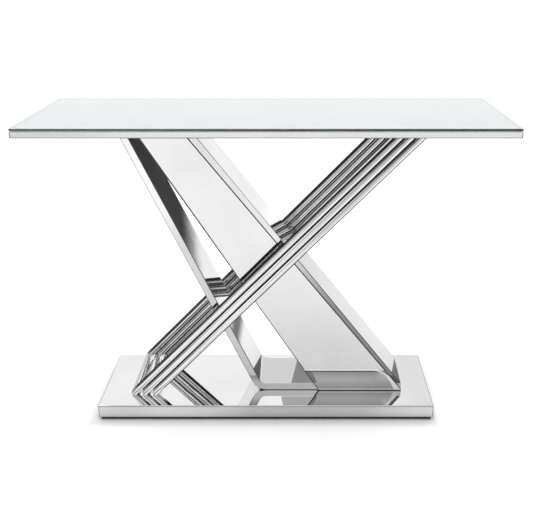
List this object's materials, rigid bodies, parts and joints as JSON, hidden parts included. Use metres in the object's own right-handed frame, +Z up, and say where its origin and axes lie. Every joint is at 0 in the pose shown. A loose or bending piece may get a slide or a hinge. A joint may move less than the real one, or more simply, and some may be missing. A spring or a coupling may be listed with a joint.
{
  "type": "console table",
  "caption": "Console table with a pale glass top in a polished metal frame, on crossed flat-bar and stacked-tube legs over a low mirror-polished plinth.",
  "frame": {"origin": "centre of the table on the floor, under the middle of the top", "axes": "+X along the length of the top, -Y to the front, +Z up"},
  "size_m": [1.2, 0.43, 0.807],
  "materials": {
    "glass": "clear float glass with polished green edges",
    "white_film": "opaque pale film bonded under the glass",
    "silicone": "clear silicone strips",
    "dark_board": "board with a dark matt laminate",
    "polished_steel": "polished stainless steel",
    "tube_steel": "polished round tube",
    "mirror_steel": "mirror-polished stainless sheet",
    "brushed_steel": "brushed steel plate",
    "zinc": "zinc-plated steel",
    "board": "raw fibreboard",
    "dark_sheet": "dark painted sheet",
    "rubber": "black rubber"
  },
  "bodies": {
    "root": {"glass_top": "glass", "white_film": "white_film", "bond_strips": "silicone", "top_core": "dark_board", "rail_front": "polished_steel", "rail_rear": "polished_steel", "rail_left": "polished_steel", "rail_right": "polished_steel", "corner_keys": "zinc", "bar_mount_plate": "brushed_steel", "ring_mount_plate": "brushed_steel", "mount_screws": "zinc", "left_bar": "polished_steel", "bar_bend": "polished_steel", "bottom_bar": "polished_steel", "right_bar": "polished_steel", "front_panel": "polished_steel", "nut_bar": "zinc", "outer_front_tube": "tube_steel", "outer_rear_tube": "tube_steel", "outer_foot_tube": "tube_steel", "outer_head_tube": "tube_steel", "middle_front_tube": "tube_steel", "middle_rear_tube": "tube_steel", "middle_foot_tube": "tube_steel", "middle_head_tube": "tube_steel", "inner_front_tube": "tube_steel", "inner_rear_tube": "tube_steel", "inner_foot_tube": "tube_steel", "inner_head_tube": "tube_steel", "ring_inserts": "zinc", "plinth_shell": "mirror_steel", "plinth_core": "board", "plinth_bottom": "dark_sheet", "plinth_bolts": "zinc", "shadow_strips": "rubber", "feet": "rubber", "foot_screws": "zinc"}
  },
  "joints": []
}
